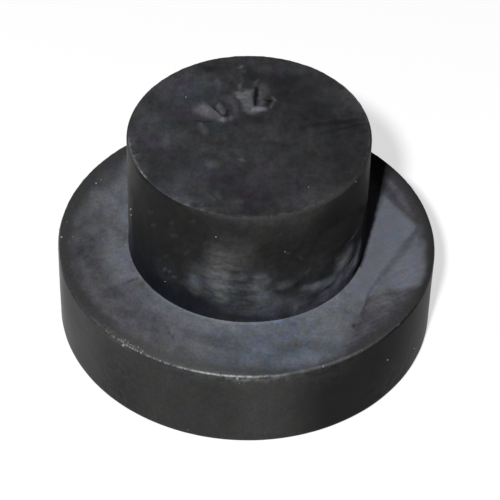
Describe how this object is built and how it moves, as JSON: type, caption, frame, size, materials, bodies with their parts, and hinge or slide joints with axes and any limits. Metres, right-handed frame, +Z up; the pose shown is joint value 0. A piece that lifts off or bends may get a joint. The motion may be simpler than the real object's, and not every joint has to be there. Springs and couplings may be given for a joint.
{
  "type": "rubber foot",
  "caption": "Solid rubber foot: a round disc that stands on the floor, with a plain round boss on top that plugs into a tube or a hole.",
  "frame": {"origin": "centre of the disc's underside, which stands on the floor", "axes": "+Z up along the boss's axis; the two gate pits lie on the +Y side of the boss's end"},
  "size_m": [0.04, 0.04, 0.0248],
  "materials": {
    "rubber": "matt moulded black rubber with a cloudy blue-grey bloom, dull where it was handled"
  },
  "bodies": {
    "root": {"rubber_foot": "rubber"}
  },
  "joints": []
}
